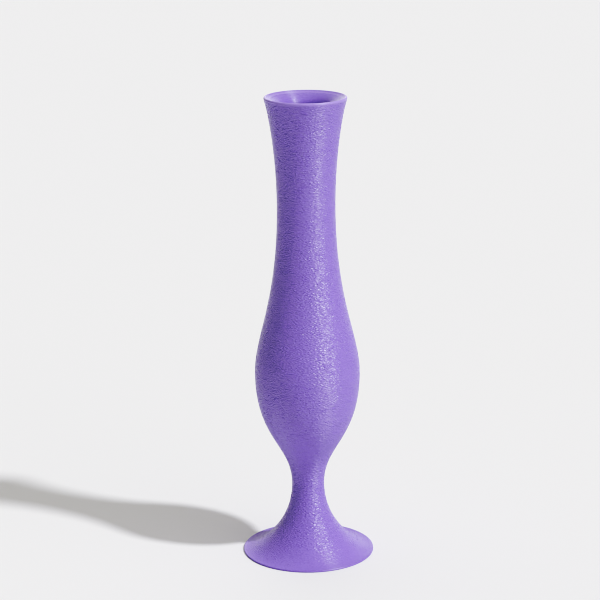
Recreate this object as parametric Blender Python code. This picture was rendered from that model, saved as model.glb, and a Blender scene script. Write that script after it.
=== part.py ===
"""Slender bud vase, printed in plastic as one piece.

From the floor up it has a thin flared foot, a narrow waist, a round bulb, a long neck and
a thin lip. The mouth is a short funnel down to a throat, and the well goes on from there to
the lower part of the bulb. The waist and the foot below it are solid.

Units are metres and +Z is up. The origin is the centre of the foot's underside.
"""
import math
from collections import namedtuple

import bmesh
import bpy
from mathutils import Vector
from mathutils.geometry import interpolate_bezier

# Driving dimensions
HEIGHT = 0.250           # floor to the crest of the lip
WALL = 0.0026            # wall of the neck and the bulb, measured square to it
FOOT_RADIUS = 0.03535
FOOT_EDGE = 0.0010       # height of the thin rim round the foot
EDGE_ROUNDING = 0.0003   # taken off the rim's two corners
WAIST_RADIUS = 0.00865
BULB_RADIUS = 0.0280
NECK_RADIUS = 0.01535
LIP_RADIUS = 0.0217
LIP_LEAN = 18.0          # degrees that the outside leans out at the lip
LIP_ROUNDING = 0.0008    # radius of the rounding over the lip
FUNNEL_LEAN = 54.0       # degrees that the inside leans out at the lip
THROAT_RADIUS = 0.0125
THROAT_DEPTH = 0.0061    # from the crest of the lip down to the throat
WELL_TURN = 0.067        # height where the well's wall turns in towards its floor
WELL_FLOOR = 0.056       # height of the well's floor, at its middle

# How finely the turned shape is cut
SEGMENTS = 64
CURVE_STEPS = 8
LIP_STEPS = 4            # with these leans, one of them falls on the crest
WELL_STEPS = 4

PLASTIC_COLOR = (0.270, 0.165, 0.610, 1.0)

# A point that the outline passes through. Its lean is in degrees from upright, outwards as
# it rises, and the outline keeps that lean for about its reach each way.
Station = namedtuple("Station", "radius height lean reach_down reach_up")

FOOT_RIM = Station(FOOT_RADIUS - EDGE_ROUNDING, FOOT_EDGE, -86.0, 0.0, 0.0105)
WAIST = Station(WAIST_RADIUS, 0.0380, 0.0, 0.0210, 0.0224)
BULB = Station(BULB_RADIUS, 0.1010, 0.0, 0.0368, 0.0204)
NECK = Station(NECK_RADIUS, 0.1920, 0.0, 0.0522, 0.0257)
LIP_RISE = LIP_ROUNDING * (1.0 + math.sin(math.radians(LIP_LEAN)))
LIP = Station(LIP_RADIUS, HEIGHT - LIP_RISE, LIP_LEAN, 0.0089, 0.0)

# The same for the inside, from the neck up
BORE = Station(NECK_RADIUS - WALL, NECK.height, 0.0, 0.0, 0.0260)
THROAT = Station(THROAT_RADIUS, HEIGHT - THROAT_DEPTH, 8.0, 0.0080, 0.0040)
FUNNEL_REACH = 0.0018


def clear_scene():
    for thing in list(bpy.data.objects):
        bpy.data.objects.remove(thing, do_unlink=True)


def place(radius, height):
    """A point of the outline, which is drawn on the X side of the XZ plane."""
    return Vector((radius, 0.0, height))


def direction(lean):
    return place(math.sin(math.radians(lean)), math.cos(math.radians(lean)))


def rising_curve(low, high):
    """The outline from one station up to the next, both ends included."""
    start = place(low.radius, low.height)
    end = place(high.radius, high.height)
    leaving = start + direction(low.lean) * low.reach_up
    arriving = end - direction(high.lean) * high.reach_down
    return list(interpolate_bezier(start, leaving, arriving, end, CURVE_STEPS + 1))


def outer_wall():
    """The outside, from the top of the foot's rim up to the lip."""
    stations = (FOOT_RIM, WAIST, BULB, NECK, LIP)
    points = rising_curve(stations[0], stations[1])
    for low, high in zip(stations[1:], stations[2:]):
        points += rising_curve(low, high)[1:]
    return points


def moved_in(point, along, by):
    """A point moved in from an outline, square to the outline's direction there."""
    return point + Vector((-along.z, 0.0, along.x)) * by


def lip():
    """Points of the rounding over the lip, from the outside's end to the funnel's."""
    middle = moved_in(place(LIP.radius, LIP.height), direction(LIP_LEAN), LIP_ROUNDING)
    first = -math.radians(LIP_LEAN)
    sweep = math.pi - math.radians(FUNNEL_LEAN) - first
    turns = [first + sweep * step / LIP_STEPS for step in range(1, LIP_STEPS + 1)]
    return [middle + place(math.cos(turn), math.sin(turn)) * LIP_ROUNDING for turn in turns]


def inner_wall(outside, top):
    """The inside, from below the funnel's top down to where the well's wall turns in."""
    funnel = Station(top.x, top.z, FUNNEL_LEAN, FUNNEL_REACH, 0.0)
    inside = rising_curve(THROAT, funnel)[-2::-1] + rising_curve(BORE, THROAT)[-2::-1]
    for above, here, below in zip(outside[::-1], outside[-2::-1], outside[-3::-1]):
        if here.z < NECK.height:
            inside.append(moved_in(here, (above - below).normalized(), WALL))
    return [point for point in inside if point.z > WELL_TURN]


def well_floor(wall):
    """The rounded floor, from the well's wall to the middle."""
    falling = (wall[-1] - wall[-2]).normalized()
    start = wall[-1]
    middle = place(0.0, WELL_FLOOR)
    reach = start.x / 2.0
    return list(interpolate_bezier(start, start + falling * reach, middle + place(reach, 0.0),
                                   middle, WELL_STEPS + 1))[1:]


def foot_edge():
    """The flat underside and the thin rim, from the middle outwards and up."""
    return [
        place(0.0, 0.0),
        place(FOOT_RADIUS - EDGE_ROUNDING, 0.0),
        place(FOOT_RADIUS, EDGE_ROUNDING),
        place(FOOT_RADIUS, FOOT_EDGE - EDGE_ROUNDING),
    ]


def outline():
    """The whole section, from the middle of the underside to the middle of the well's floor."""
    outside = outer_wall()
    rounding = lip()
    inside = inner_wall(outside, rounding[-1])
    return foot_edge() + outside + rounding + inside + well_floor(inside)


def turned_mesh(name, points):
    """Turns a section about the Z axis. Both its ends are on the axis, so the body is closed."""
    bm = bmesh.new()
    verts = [bm.verts.new(point) for point in points]
    edges = [bm.edges.new(pair) for pair in zip(verts, verts[1:])]
    bmesh.ops.spin(bm, geom=verts + edges, cent=(0.0, 0.0, 0.0), axis=(0.0, 0.0, 1.0),
                   angle=2.0 * math.pi, steps=SEGMENTS, use_merge=True)
    bmesh.ops.remove_doubles(bm, verts=bm.verts, dist=1e-6)
    bmesh.ops.recalc_face_normals(bm, faces=bm.faces)
    mesh = bpy.data.meshes.new(name)
    bm.to_mesh(mesh)
    bm.free()
    mesh.shade_smooth()
    mesh.set_sharp_from_angle(angle=math.radians(40.0))
    return mesh


def purple_plastic():
    material = bpy.data.materials.new("purple_plastic")
    material.use_nodes = True
    shader = material.node_tree.nodes["Principled BSDF"]
    shader.inputs["Base Color"].default_value = PLASTIC_COLOR
    shader.inputs["Metallic"].default_value = 0.0
    shader.inputs["Roughness"].default_value = 0.45
    return material


def build():
    clear_scene()
    mesh = turned_mesh("vase", outline())
    mesh.materials.append(purple_plastic())
    vase = bpy.data.objects.new("vase", mesh)
    bpy.context.scene.collection.objects.link(vase)


build()
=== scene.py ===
"""A slender bud vase, printed in iris-purple plastic, on a plain pale floor.

The outside has the fine rough skin that a printer makes when it jogs each line of plastic
in and out as it lays it. The lip, the funnel of the mouth, the well and the foot's rim and
underside are smooth.

Units are metres and +Z is up, with the origin at the centre of the foot's underside.
"""

import math
from collections import namedtuple

import bpy
import numpy as np
from mathutils import Matrix, Vector
from mathutils.geometry import interpolate_bezier


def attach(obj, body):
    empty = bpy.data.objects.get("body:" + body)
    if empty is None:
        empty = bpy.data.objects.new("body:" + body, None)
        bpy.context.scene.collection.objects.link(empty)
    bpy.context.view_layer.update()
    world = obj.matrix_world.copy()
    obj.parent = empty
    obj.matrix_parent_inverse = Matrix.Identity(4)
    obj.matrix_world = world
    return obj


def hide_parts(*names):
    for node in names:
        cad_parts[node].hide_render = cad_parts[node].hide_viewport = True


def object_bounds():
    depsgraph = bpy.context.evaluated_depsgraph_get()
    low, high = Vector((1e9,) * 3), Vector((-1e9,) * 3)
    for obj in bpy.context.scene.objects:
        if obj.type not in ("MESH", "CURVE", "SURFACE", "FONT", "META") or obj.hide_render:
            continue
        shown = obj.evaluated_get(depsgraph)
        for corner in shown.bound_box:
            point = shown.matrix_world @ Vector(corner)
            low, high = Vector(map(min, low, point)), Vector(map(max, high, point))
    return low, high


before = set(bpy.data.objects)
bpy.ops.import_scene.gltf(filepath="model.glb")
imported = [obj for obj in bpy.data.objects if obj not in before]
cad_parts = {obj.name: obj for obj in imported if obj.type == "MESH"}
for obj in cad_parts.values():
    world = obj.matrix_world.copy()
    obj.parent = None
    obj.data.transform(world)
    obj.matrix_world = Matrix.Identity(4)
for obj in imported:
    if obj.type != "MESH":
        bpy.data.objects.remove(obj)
cad_low, cad_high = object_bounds()

# The vase's own sizes. A lean is in degrees from upright.
HEIGHT = cad_high.z
FOOT_RADIUS = cad_high.x
WALL = 0.0026             # wall of the neck and the bulb, measured square to it
FOOT_EDGE = 0.0010        # height of the thin rim round the foot
EDGE_ROUNDING = 0.0003    # of the rim's two corners
LIP_RADIUS = 0.0217
LIP_LEAN = 18.0           # how far the outside leans out at the lip
LIP_ROUNDING = 0.0008     # radius of the rounding over the lip
CREST_RADIUS = LIP_RADIUS - LIP_ROUNDING * math.cos(math.radians(LIP_LEAN))
FUNNEL_LEAN = 54.0        # how far the inside leans out at the lip
THROAT_RADIUS = 0.0125
THROAT_DEPTH = 0.0061     # from the crest of the lip down to the throat
WELL_TURN = 0.067         # height where the well's wall turns in towards its floor
WELL_FLOOR = 0.056        # height of the well's floor, at its middle

# A point that the outline passes through. Its lean is in degrees from upright, outwards as
# it rises, and the outline keeps that lean for about its reach each way.
Station = namedtuple("Station", "radius height lean reach_down reach_up")

FOOT_RIM = Station(FOOT_RADIUS - EDGE_ROUNDING, FOOT_EDGE, -86.0, 0.0, 0.0105)
WAIST = Station(0.00865, 0.0380, 0.0, 0.0210, 0.0224)
BULB = Station(0.0280, 0.1010, 0.0, 0.0368, 0.0204)
NECK = Station(0.01535, 0.1920, 0.0, 0.0522, 0.0257)
LIP_RISE = LIP_ROUNDING * (1.0 + math.sin(math.radians(LIP_LEAN)))
LIP = Station(LIP_RADIUS, HEIGHT - LIP_RISE, LIP_LEAN, 0.0089, 0.0)

# The same for the inside, from the neck up
BORE = Station(NECK.radius - WALL, NECK.height, 0.0, 0.0, 0.0260)
THROAT = Station(THROAT_RADIUS, HEIGHT - THROAT_DEPTH, 8.0, 0.0080, 0.0040)
FUNNEL_REACH = 0.0018

# How finely the turned shape is cut
CURVE_STEPS = 200         # from one station to the next, before the points are spaced evenly
LIP_STEPS = 8
FUNNEL_PITCH = 0.0005     # from one ring of the funnel to the next
WELL_PITCH = 0.006
WELL_COLUMNS = 72
WELL_FLOOR_POINTS = 60
HIDDEN_SHARE = 0.25       # the share of its length that a hardly seen part gets on the map
CORNER_SHARE = 0.3        # how far in from both its sides the middle of a rounding lies

# The printed skin
LINE_PITCH = 0.00036      # from one ring of the skin to the next, along the outline
JOG_PITCH = 0.00100       # from one jog to the next, round a ring
JOG_DEPTH = 0.00016       # how far a jog goes, in or out
FLAT_SHARE = 0.15         # the share of its depth that a jog keeps where the foot lies flat
UNDER_LOSS = 0.5          # the share it loses where the skin faces straight down
JOG_SEED = 4
JOG_WANDER = 0.3          # how far a jog strays round its ring, as a share of the jog pitch
EVENED = 0.9              # how much of its neighbours' mean is taken off a jog, so no lumps form
SKIN_FADE = 0.0010        # the skin starts and ends over this length of the outline
SKIN_START = 0.01         # where there is less skin than this, the surface is shaded smooth

# The plastic's colour: a random fine grain, with painted shade in its recesses and painted light
# on its ridges, on the flat skin and along the lip
# The grain's two tones over a random tone: lighter on the ridges of its bump, and darker in its
# recesses as painted shade
LIT_RIDGE_COLOR = (0.274, 0.193, 0.645, 1.0)
SHADED_RECESS_COLOR = (0.189, 0.124, 0.472, 1.0)
COLOR_SPREAD = 0.28       # how far the grain swings from its middle, over a full colour change
LIP_HIGHLIGHT_COLOR = (0.470, 0.360, 0.820, 1.0)    # painted highlight along the top of the lip
CREST_FALL = 16.0         # how fast that painted highlight fades as the lip's rounding turns from level
LIP_BAND = 0.0008         # how far it goes down the outside, below the rounding
BAND_TOP = 0.0003         # and how far up the rounding that band is at its palest
LIP_HIGHLIGHT_SHARE = 0.37         # how far the colour goes towards the painted highlight's at the top of the band
FLAT_PAINTED_LIGHT = 0.10        # painted light where the skin lies flat, most on the foot's top

# Its shine
ROUGHNESS = 0.40          # of the printed skin
SMOOTH_ROUGHNESS = 0.50   # of the lip, the funnel, the well and the foot's edge
ROUGH_SWING = 0.16        # how much the roughness changes over the fine grain
SHINE = 0.80
SHINE_SWING = 0.20        # how far the shine goes up and down over the fine grain
GRAIN_SWING = 0.2         # how far the grain itself swings from its middle, for these two
SMOOTH_SHARE = 0.7        # the share of the shine that the smooth plastic has
FLAT_DULLING = 0.85       # the share of the shine that the skin loses where it lies flat
ANISOTROPY = 1.0          # the printed lines spread the shine up and down, not sideways
SMOOTH_ANISOTROPY = 0.89  # and where the plastic is smooth they do it less
UPRIGHT = 0.25            # a quarter turn, from along the lines to across them

# Its fine grain
GRAIN_LENGTH = 0.0007     # along a printed line
GRAIN_HEIGHT = 0.00045    # and across the lines
GRAIN_SIZE = (GRAIN_LENGTH, GRAIN_LENGTH, GRAIN_HEIGHT)
GLOSS_SIZE = (0.9 * GRAIN_LENGTH, 0.9 * GRAIN_LENGTH, 1.1 * GRAIN_HEIGHT)
GRAIN_DEPTH = 0.00004
GRAIN_DETAIL = 1.0

# The floor
FLOOR_REACH = 8.0
FLOOR_COLOR = (0.85, 0.855, 0.87, 1.0)
FLOOR_ROUGHNESS = 0.9

# The camera: where it stands, and how it is turned, in degrees
CAMERA_PLACE = Vector((0.0, -1.0883, 0.4384))
CAMERA_DOWN = 15.289
CAMERA_LEFT = 0.190
CAMERA_ROLL = -0.469
CAMERA_LENS = 127.55
SENSOR = 36.0
PIXEL_BLUR = 1.0          # in pixels, narrow enough to keep the grain crisp

# The light: one hard key light and a few wide soft ones, all far away. A direction is a turn to
# the right from the front, seen from above, and a height above level, in degrees.
KEY_TURN = 62.6
KEY_HEIGHT = 50.2
KEY_SIZE = 4.0
KEY_STRENGTH = 2.70
SoftLight = namedtuple("SoftLight", "turn height strength")
SOFT_LIGHTS = (
    SoftLight(45.0, 14.0, 1.84),
    SoftLight(180.0, 14.0, 1.92),
    SoftLight(225.0, 42.0, 0.45),
    SoftLight(0.0, 90.0, 1.30),
)
SOFT_FALL = 8.0           # how fast a soft light falls off round its middle
SOFT_COLOR = (1.0, 0.975, 0.95, 1.0)

# A small card of light that lies on the floor at the left and faces up, unseen by the camera.
# It lights the vase from below, under the bulb.
CARD_PLACE = Vector((-0.120, -0.035, 0.003))
CARD_SIZE = 0.12
CARD_POWER = 0.029

# How the picture turns light into tone: pairs of light in and light out
TONES = ((0.033, 0.018), (0.100, 0.060), (0.214, 0.206), (0.380, 0.405), (0.604, 0.597),
         (0.787, 0.727), (1.000, 0.851))

# The same for the blue alone, which is a little weaker in the shade
BLUE_TONES = ((0.200, 0.187), (0.356, 0.337), (0.429, 0.414), (0.527, 0.522), (0.620, 0.620))


def place(radius, height):
    """A point of the section, which is drawn on the X side of the XZ plane."""
    return Vector((radius, 0.0, height))


def direction(lean):
    return place(math.sin(math.radians(lean)), math.cos(math.radians(lean)))


def rising_curve(low, high):
    """The outline from one station up to the next, both ends included."""
    start = place(low.radius, low.height)
    end = place(high.radius, high.height)
    leaving = start + direction(low.lean) * low.reach_up
    arriving = end - direction(high.lean) * high.reach_down
    return list(interpolate_bezier(start, leaving, arriving, end, CURVE_STEPS + 1))


def outer_wall():
    """The outside, from the top of the foot's rim up to the lip, in fine steps."""
    stations = (FOOT_RIM, WAIST, BULB, NECK, LIP)
    points = rising_curve(stations[0], stations[1])
    for low, high in zip(stations[1:], stations[2:]):
        points += rising_curve(low, high)[1:]
    return points


def spaced(points, pitch):
    """Points at an even pitch along a line, both its ends included."""
    line = np.array(points)
    run = np.concatenate([[0.0], np.cumsum(np.linalg.norm(np.diff(line, axis=0), axis=1))])
    stops = np.linspace(0.0, run[-1], max(2, round(run[-1] / pitch) + 1))
    return [Vector([np.interp(stop, run, axis) for axis in line.T]) for stop in stops]


def moved_in(point, along, by):
    """A point moved in from an outline, square to the outline's direction there."""
    return point + Vector((-along.z, 0.0, along.x)) * by


def lip():
    """Points of the rounding over the lip, from the outside's end to the funnel's."""
    middle = moved_in(place(LIP.radius, LIP.height), direction(LIP_LEAN), LIP_ROUNDING)
    first = -math.radians(LIP_LEAN)
    sweep = math.pi - math.radians(FUNNEL_LEAN) - first
    turns = [first + sweep * step / LIP_STEPS for step in range(1, LIP_STEPS + 1)]
    return [middle + place(math.cos(turn), math.sin(turn)) * LIP_ROUNDING for turn in turns]


def funnel(top):
    """The inside of the mouth, from its top, where the lip's rounding ends, to the throat."""
    start = Station(top.x, top.z, FUNNEL_LEAN, FUNNEL_REACH, 0.0)
    return rising_curve(THROAT, start)[::-1]


def well_wall(outside):
    """The well's wall, from the throat down to where it turns in."""
    wall = rising_curve(BORE, THROAT)[::-1]
    for above, here, below in zip(outside[::-1], outside[-2::-1], outside[-3::-1]):
        if here.z < NECK.height:
            wall.append(moved_in(here, (above - below).normalized(), WALL))
    return [point for point in wall if point.z > WELL_TURN]


def well_floor(wall):
    """The rounded floor, from the well's wall to the middle."""
    falling = (wall[-1] - wall[-2]).normalized()
    start = wall[-1]
    middle = place(0.0, WELL_FLOOR)
    reach = start.x / 2.0
    return list(interpolate_bezier(start, start + falling * reach, middle + place(reach, 0.0),
                                   middle, WELL_FLOOR_POINTS))


def foot_edge():
    """The flat underside and the thin rim, from the middle outwards and up. The second and
    third points only cut the underside into narrower rings."""
    corner = CORNER_SHARE * EDGE_ROUNDING
    return [
        place(0.0, 0.0),
        place(0.5 * FOOT_RADIUS, 0.0),
        place(FOOT_RADIUS - 3.0 * EDGE_ROUNDING, 0.0),
        place(FOOT_RADIUS - EDGE_ROUNDING, 0.0),
        place(FOOT_RADIUS - corner, corner),
        place(FOOT_RADIUS, EDGE_ROUNDING),
        place(FOOT_RADIUS, FOOT_EDGE - EDGE_ROUNDING),
        place(FOOT_RADIUS - corner, FOOT_EDGE - corner),
    ]


Ring = namedtuple("Ring", "point columns skin run")


def section_rings():
    """The rings of the turned shape in order. Each has its point of the section, its number of
    columns, how much of the rough skin it has, and how far along the section it lies, where
    the parts that are hardly seen count for less."""
    outline = outer_wall()
    rough = spaced(outline, LINE_PITCH)
    over = lip()
    mouth = spaced(funnel(over[-1]), FUNNEL_PITCH)[1:]
    wall = well_wall(outline)
    well = spaced(wall, WELL_PITCH)[1:] + spaced(well_floor(wall), 0.5 * WELL_PITCH)[1:]
    edge = foot_edge()
    parts = (("under", edge), ("skin", rough), ("mouth", over + mouth), ("well", well))
    reach = (len(rough) - 1) * LINE_PITCH
    rings = []
    run = 0.0
    before = edge[0]
    for part, points in parts:
        for number, point in enumerate(points):
            run += (point - before).length * (HIDDEN_SHARE if part in ("under", "well") else 1.0)
            before = point
            skin = 0.0
            if part == "skin":
                along = number * LINE_PITCH
                skin = min(1.0, along / SKIN_FADE, (reach - along) / SKIN_FADE)
            columns = WELL_COLUMNS
            if part != "well":
                columns = max(1, round(2.0 * math.pi * point.x / JOG_PITCH))
            rings.append(Ring(point, columns, skin, run))
    rings[-1] = rings[-1]._replace(columns=1)
    return rings


def stitched(lower, upper, first_angles):
    """Triangles between two neighbour rings, whose counts may differ, like a zip."""
    faces = []
    step_low = 2.0 * math.pi / len(lower)
    step_up = 2.0 * math.pi / len(upper)
    low_end = len(lower) if len(lower) > 1 else 0
    up_end = len(upper) if len(upper) > 1 else 0
    i = j = 0
    while i < low_end or j < up_end:
        next_low = first_angles[0] + (i + 1) * step_low
        next_up = first_angles[1] + (j + 1) * step_up
        here, there = lower[i % len(lower)], upper[j % len(upper)]
        if j == up_end or (i < low_end and next_low < next_up):
            faces.append((here, lower[(i + 1) % len(lower)], there))
            i += 1
        else:
            faces.append((here, upper[(j + 1) % len(upper)], there))
            j += 1
    return faces


def turned_mesh(name):
    """The closed body: rings stacked along the section, each started at a place of its own."""
    rings = section_rings()
    chance = np.random.default_rng(JOG_SEED)
    points, skins, arounds, runs, numbers, firsts = [], [], [], [], [], []
    for ring in rings:
        step = 2.0 * math.pi / ring.columns
        first = step * chance.random()
        wander = chance.uniform(-JOG_WANDER, JOG_WANDER, ring.columns) * (ring.skin > 0.0)
        angles = (first + step * (np.arange(ring.columns) + wander)) % (2.0 * math.pi)
        numbers.append(list(range(len(points), len(points) + ring.columns)))
        firsts.append(first)
        radius, height = ring.point.x, ring.point.z
        points += [(radius * math.cos(a), radius * math.sin(a), height) for a in angles]
        skins += [ring.skin] * ring.columns
        arounds += list(angles / (2.0 * math.pi))
        runs += [ring.run / rings[-1].run] * ring.columns
    faces = []
    for lower, upper, pair in zip(numbers, numbers[1:], zip(firsts, firsts[1:])):
        faces += stitched(lower, upper, pair)
    mesh = bpy.data.meshes.new(name)
    mesh.from_pydata(points, [], faces)
    skin = mesh.attributes.new("skin", "FLOAT", "POINT")
    skin.data.foreach_set("value", skins)
    unroll(mesh, np.array(arounds), np.array(runs))
    return mesh


def unroll(mesh, arounds, runs):
    """The map for the plastic: once round the vase is its width, the section its height."""
    corners = np.empty(len(mesh.loops), dtype=np.int32)
    mesh.loops.foreach_get("vertex_index", corners)
    across = arounds[corners].reshape(-1, 3)
    over_seam = np.ptp(across, axis=1) > 0.5
    across[over_seam] = np.where(across[over_seam] < 0.5, 1.0, across[over_seam])
    up = runs[corners].reshape(-1, 3)
    layer = mesh.uv_layers.new(name="OFBake")
    layer.data.foreach_set("uv", np.stack([across, up], axis=2).ravel().astype(np.float32))


def node(tree, kind, **settings):
    made = tree.nodes.new(kind)
    for name, value in settings.items():
        setattr(made, name, value)
    return made


def math_node(tree, operation, first, second):
    """A Math node on values or on other nodes' outputs; returns its output."""
    made = node(tree, "ShaderNodeMath", operation=operation)
    for number, value in enumerate((first, second)):
        if isinstance(value, bpy.types.NodeSocket):
            tree.links.new(value, made.inputs[number])
        else:
            made.inputs[number].default_value = value
    return made.outputs[0]


def height_of(tree, vector):
    """The Z of a vector."""
    parts = node(tree, "ShaderNodeSeparateXYZ")
    tree.links.new(vector, parts.inputs[0])
    return parts.outputs["Z"]


def kept_share(tree, normal, given):
    """The share of its depth that a jog keeps, less where the skin lies flat or faces down."""
    up = height_of(tree, normal)
    up_squared = math_node(tree, "MULTIPLY", up, up)
    flat = math_node(tree, "MULTIPLY", up_squared, up_squared)
    lost = math_node(tree, "SUBTRACT", 1.0, given.outputs["Flat share"])
    share = math_node(tree, "SUBTRACT", 1.0, math_node(tree, "MULTIPLY", flat, lost))
    down = math_node(tree, "MAXIMUM", math_node(tree, "MULTIPLY", up, -1.0), 0.0)
    under = math_node(tree, "MULTIPLY", down, given.outputs["Under loss"])
    return math_node(tree, "SUBTRACT", share, under)


def rough_skin_tree():
    """Moves each point of the skin in or out by a random jog."""
    tree = bpy.data.node_groups.new("rough_skin", "GeometryNodeTree")
    face = tree.interface
    face.new_socket("Geometry", in_out="OUTPUT", socket_type="NodeSocketGeometry")
    face.new_socket("Geometry", in_out="INPUT", socket_type="NodeSocketGeometry")
    for name in ("Jog depth", "Evened", "Flat share", "Under loss"):
        face.new_socket(name, in_out="INPUT", socket_type="NodeSocketFloat")
    face.new_socket("Seed", in_out="INPUT", socket_type="NodeSocketInt")
    face.new_socket("Plastic", in_out="INPUT", socket_type="NodeSocketMaterial")
    given = node(tree, "NodeGroupInput")
    result = node(tree, "NodeGroupOutput")
    normal = node(tree, "GeometryNodeInputNormal").outputs[0]
    skin = node(tree, "GeometryNodeInputNamedAttribute", data_type="FLOAT")
    skin.inputs["Name"].default_value = "skin"

    # A jog is random, less its neighbours' mean.
    jog = node(tree, "FunctionNodeRandomValue", data_type="FLOAT")
    least, greatest = jog.inputs[2], jog.inputs[3]
    least.default_value = -1.0
    greatest.default_value = 1.0
    tree.links.new(given.outputs["Seed"], jog.inputs["Seed"])
    around = node(tree, "GeometryNodeBlurAttribute", data_type="FLOAT")
    tree.links.new(jog.outputs[1], around.inputs["Value"])
    around.inputs["Iterations"].default_value = 1
    taken = math_node(tree, "MULTIPLY", around.outputs[0], given.outputs["Evened"])
    alone = math_node(tree, "SUBTRACT", jog.outputs[1], taken)
    depth = math_node(tree, "MULTIPLY", alone, skin.outputs[0])
    depth = math_node(tree, "MULTIPLY", depth, given.outputs["Jog depth"])
    depth = math_node(tree, "MULTIPLY", depth, kept_share(tree, normal, given))

    push = node(tree, "ShaderNodeVectorMath", operation="SCALE")
    tree.links.new(normal, push.inputs[0])
    tree.links.new(depth, push.inputs["Scale"])
    moved = node(tree, "GeometryNodeSetPosition")
    tree.links.new(given.outputs["Geometry"], moved.inputs["Geometry"])
    tree.links.new(push.outputs[0], moved.inputs["Offset"])

    # The skin keeps its small flat facets, and the rest is shaded smooth.
    even = node(tree, "FunctionNodeCompare", data_type="FLOAT", operation="LESS_THAN")
    tree.links.new(skin.outputs[0], even.inputs[0])
    even.inputs[1].default_value = SKIN_START
    smooth = node(tree, "GeometryNodeSetShadeSmooth")
    tree.links.new(moved.outputs[0], smooth.inputs["Geometry"])
    tree.links.new(even.outputs[0], smooth.inputs["Shade Smooth"])

    real = node(tree, "GeometryNodeRealizeInstances")
    tree.links.new(smooth.outputs[0], real.inputs["Geometry"])
    dressed = node(tree, "GeometryNodeSetMaterial")
    tree.links.new(real.outputs[0], dressed.inputs["Geometry"])
    tree.links.new(given.outputs["Plastic"], dressed.inputs["Material"])
    tree.links.new(dressed.outputs[0], result.inputs["Geometry"])
    return tree


def set_inputs(modifier, values):
    """Gives a Geometry Nodes modifier its inputs, by their names in the tree."""
    for item in modifier.node_group.interface.items_tree:
        if item.in_out == "INPUT" and item.name in values:
            modifier[item.identifier] = values[item.name]


def printed_vase(plastic):
    mesh = turned_mesh("printed_vase")
    piece = bpy.data.objects.new("printed_vase", mesh)
    bpy.context.scene.collection.objects.link(piece)
    modifier = piece.modifiers.new("rough_skin", "NODES")
    modifier.node_group = rough_skin_tree()
    set_inputs(modifier, {
        "Jog depth": JOG_DEPTH,
        "Evened": EVENED,
        "Flat share": FLAT_SHARE,
        "Under loss": UNDER_LOSS,
        "Seed": JOG_SEED,
        "Plastic": plastic,
    })
    depsgraph = bpy.context.evaluated_depsgraph_get()
    finished = bpy.data.meshes.new_from_object(piece.evaluated_get(depsgraph))
    piece.modifiers.clear()
    piece.data = finished
    finished.name = "printed_vase"
    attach(piece, "root")
    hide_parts("vase")


def noise(tree, where, spacing):
    """A noise whose lumps are spaced by so many metres along X, Y and Z; returns its output."""
    scaled = node(tree, "ShaderNodeVectorMath", operation="DIVIDE")
    tree.links.new(where, scaled.inputs[0])
    scaled.inputs[1].default_value = spacing
    made = node(tree, "ShaderNodeTexNoise")
    made.inputs["Scale"].default_value = 1.0
    made.inputs["Detail"].default_value = GRAIN_DETAIL
    tree.links.new(scaled.outputs[0], made.inputs["Vector"])
    return made.outputs["Fac"]


def spread(tree, value, low, high, to_low, to_high):
    """Maps a value that runs from low to high onto another span, and holds it inside that."""
    made = node(tree, "ShaderNodeMapRange")
    tree.links.new(value, made.inputs["Value"])
    ends = {"From Min": low, "From Max": high, "To Min": to_low, "To Max": to_high}
    for name, number in ends.items():
        made.inputs[name].default_value = number
    return made.outputs[0]


def mixed_color(tree, share, color, other):
    """Goes from one colour, a value or an output, to another by a share; returns its output."""
    made = node(tree, "ShaderNodeMix", data_type="RGBA")
    tree.links.new(share, made.inputs["Factor"])
    if isinstance(color, bpy.types.NodeSocket):
        tree.links.new(color, made.inputs["A"])
    else:
        made.inputs["A"].default_value = color
    made.inputs["B"].default_value = other
    return made.outputs["Result"]


def lip_highlight(tree, where, up):
    """How far the painted highlight on the lip shows: in full along the crest, where the rounding
    lies level, and less on a narrow band that fades down the outside."""
    height = height_of(tree, where)
    level = math_node(tree, "POWER", math_node(tree, "MAXIMUM", up, 0.0), CREST_FALL)
    crest = math_node(tree, "MULTIPLY", level, math_node(tree, "GREATER_THAN", height, LIP.height))
    across = node(tree, "ShaderNodeVectorMath", operation="MULTIPLY")
    tree.links.new(where, across.inputs[0])
    across.inputs[1].default_value = (1.0, 1.0, 0.0)
    radius = node(tree, "ShaderNodeVectorMath", operation="LENGTH")
    tree.links.new(across.outputs[0], radius.inputs[0])
    outside = math_node(tree, "GREATER_THAN", radius.outputs["Value"], CREST_RADIUS)
    band = spread(tree, height, LIP.height - LIP_BAND, LIP.height + BAND_TOP, 0.0, LIP_HIGHLIGHT_SHARE)
    return math_node(tree, "MAXIMUM", crest, math_node(tree, "MULTIPLY", band, outside))


def plastic_shine(tree, shader, gloss, skin, flat):
    """The shine changes over the grain, and differs between the skin and the smooth parts."""
    low, high = 0.5 - GRAIN_SWING, 0.5 + GRAIN_SWING
    rough = spread(tree, skin, 0.0, 1.0, SMOOTH_ROUGHNESS, ROUGHNESS)
    swing = spread(tree, gloss, low, high, 0.5 * ROUGH_SWING, -0.5 * ROUGH_SWING)
    tree.links.new(math_node(tree, "ADD", rough, swing), shader.inputs["Roughness"])
    shine = spread(tree, gloss, low, high, SHINE - SHINE_SWING, SHINE + SHINE_SWING)
    shine = math_node(tree, "MULTIPLY", shine, spread(tree, skin, 0.0, 1.0, SMOOTH_SHARE, 1.0))
    left = math_node(tree, "SUBTRACT", 1.0, math_node(tree, "MULTIPLY", flat, FLAT_DULLING))
    tree.links.new(math_node(tree, "MULTIPLY", shine, left), shader.inputs["Specular IOR Level"])
    stretch = spread(tree, skin, 0.0, 1.0, SMOOTH_ANISOTROPY, ANISOTROPY)
    tree.links.new(stretch, shader.inputs["Anisotropic"])
    shader.inputs["Anisotropic Rotation"].default_value = UPRIGHT
    around = node(tree, "ShaderNodeTangent", direction_type="RADIAL", axis="Z")
    tree.links.new(around.outputs[0], shader.inputs["Tangent"])


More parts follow.
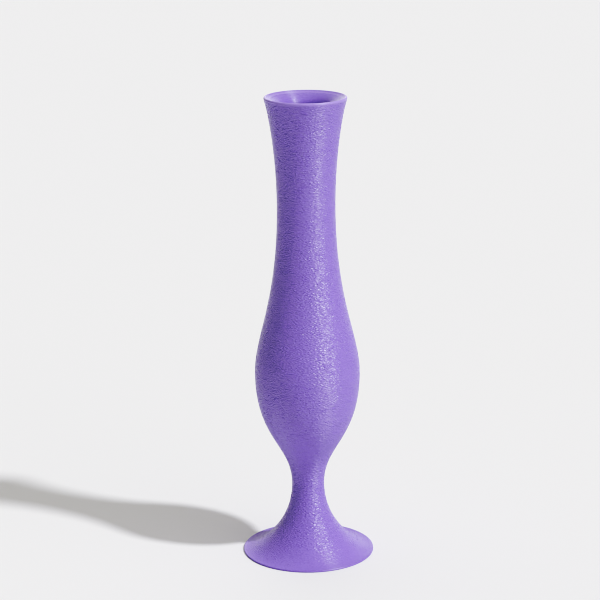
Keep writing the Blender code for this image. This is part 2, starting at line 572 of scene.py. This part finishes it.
def iris_plastic():
    material = bpy.data.materials.new("iris_plastic")
    material.use_nodes = True
    tree = material.node_tree
    shader = tree.nodes["Principled BSDF"]
    where = node(tree, "ShaderNodeTexCoord").outputs["Object"]
    skin = node(tree, "ShaderNodeAttribute", attribute_name="skin").outputs["Fac"]
    up = height_of(tree, node(tree, "ShaderNodeTexCoord").outputs["Normal"])
    flat = math_node(tree, "MULTIPLY", math_node(tree, "MULTIPLY", up, up), skin)
    grain = noise(tree, where, GRAIN_SIZE)
    gloss = noise(tree, where, GLOSS_SIZE)

    # Painted shade and light: the colour darkens where the grain's bump is low and lightens where
    # it is high
    lit_ridge_share = spread(tree, grain, 0.5 - COLOR_SPREAD, 0.5 + COLOR_SPREAD, 0.0, 1.0)
    color = mixed_color(tree, lit_ridge_share, SHADED_RECESS_COLOR, LIT_RIDGE_COLOR)
    # Painted light: a highlight along the lip, and a paler colour where the skin lies flat
    painted_light = math_node(tree, "ADD", lip_highlight(tree, where, up),
                     math_node(tree, "MULTIPLY", flat, FLAT_PAINTED_LIGHT))
    color = mixed_color(tree, painted_light, color, LIP_HIGHLIGHT_COLOR)
    tree.links.new(color, shader.inputs["Base Color"])

    plastic_shine(tree, shader, gloss, skin, flat)

    relief = node(tree, "ShaderNodeBump")
    relief.inputs["Distance"].default_value = GRAIN_DEPTH
    tree.links.new(math_node(tree, "MULTIPLY", grain, skin), relief.inputs["Height"])
    tree.links.new(relief.outputs[0], shader.inputs["Normal"])
    return material


def pale_floor():
    mesh = bpy.data.meshes.new("floor")
    signs = ((-1, -1), (1, -1), (1, 1), (-1, 1))
    corners = [(x * FLOOR_REACH, y * FLOOR_REACH, 0.0) for x, y in signs]
    mesh.from_pydata(corners, [], [(0, 1, 2, 3)])
    floor = bpy.data.objects.new("floor", mesh)
    bpy.context.scene.collection.objects.link(floor)
    material = bpy.data.materials.new("pale_floor")
    material.use_nodes = True
    shader = material.node_tree.nodes["Principled BSDF"]
    shader.inputs["Base Color"].default_value = FLOOR_COLOR
    shader.inputs["Roughness"].default_value = FLOOR_ROUGHNESS
    shader.inputs["Specular IOR Level"].default_value = 0.0
    mesh.materials.append(material)


def towards(turn, height):
    """The direction that lies a turn to the right of the front and a height above level."""
    out = math.cos(math.radians(height))
    return Vector((out * math.sin(math.radians(turn)), -out * math.cos(math.radians(turn)),
                   math.sin(math.radians(height))))


def key_light():
    lamp = bpy.data.lights.new("key_light", "SUN")
    lamp.energy = KEY_STRENGTH
    lamp.angle = math.radians(KEY_SIZE)
    key = bpy.data.objects.new("key_light", lamp)
    key.rotation_mode = "QUATERNION"
    key.rotation_quaternion = towards(KEY_TURN, KEY_HEIGHT).to_track_quat("Z", "Y")
    bpy.context.scene.collection.objects.link(key)


def soft_lights():
    """The world: each soft light is brightest in its own direction and falls off round it."""
    world = bpy.data.worlds.new("studio")
    world.use_nodes = True
    tree = world.node_tree
    looked_at = node(tree, "ShaderNodeTexCoord").outputs["Generated"]
    total = 0.0
    for light in SOFT_LIGHTS:
        facing = node(tree, "ShaderNodeVectorMath", operation="DOT_PRODUCT")
        tree.links.new(looked_at, facing.inputs[0])
        facing.inputs[1].default_value = towards(light.turn, light.height)
        lobe = math_node(tree, "MAXIMUM", facing.outputs["Value"], 0.0)
        lobe = math_node(tree, "POWER", lobe, SOFT_FALL)
        lobe = math_node(tree, "MULTIPLY", lobe, light.strength)
        total = math_node(tree, "ADD", lobe, total)
    sky = tree.nodes["Background"]
    sky.inputs["Color"].default_value = SOFT_COLOR
    tree.links.new(total, sky.inputs["Strength"])
    bpy.context.scene.world = world


def bounce_card():
    lamp = bpy.data.lights.new("bounce_card", "AREA")
    lamp.size = CARD_SIZE
    lamp.energy = CARD_POWER
    card = bpy.data.objects.new("bounce_card", lamp)
    card.location = CARD_PLACE
    card.rotation_euler = (math.pi, 0.0, 0.0)
    card.visible_camera = False
    bpy.context.scene.collection.objects.link(card)


def tone_curve():
    view = bpy.context.scene.view_settings
    view.view_transform = "Standard"
    view.use_curve_mapping = True
    mapping = view.curve_mapping
    mapping.use_clip = False
    mapping.extend = "EXTRAPOLATED"
    all_colors = mapping.curves[3]
    blue = mapping.curves[2]
    all_colors.points[1].location = TONES[-1]
    for pair in TONES[:-1]:
        all_colors.points.new(*pair)
    for pair in BLUE_TONES:
        blue.points.new(*pair)
    mapping.update()


def camera():
    data = bpy.data.cameras.new("camera")
    data.lens = CAMERA_LENS
    data.sensor_width = SENSOR
    eye = bpy.data.objects.new("camera", data)
    turn = (Matrix.Rotation(math.radians(CAMERA_LEFT), 4, "Z")
            @ Matrix.Rotation(math.radians(90.0 - CAMERA_DOWN), 4, "X")
            @ Matrix.Rotation(math.radians(CAMERA_ROLL), 4, "Z"))
    eye.matrix_world = Matrix.Translation(CAMERA_PLACE) @ turn
    bpy.context.scene.collection.objects.link(eye)
    bpy.context.scene.camera = eye


def sharp_pixels():
    bpy.context.scene.cycles.filter_width = PIXEL_BLUR


camera()
sharp_pixels()
key_light()
soft_lights()
bounce_card()
tone_curve()
pale_floor()
printed_vase(iris_plastic())
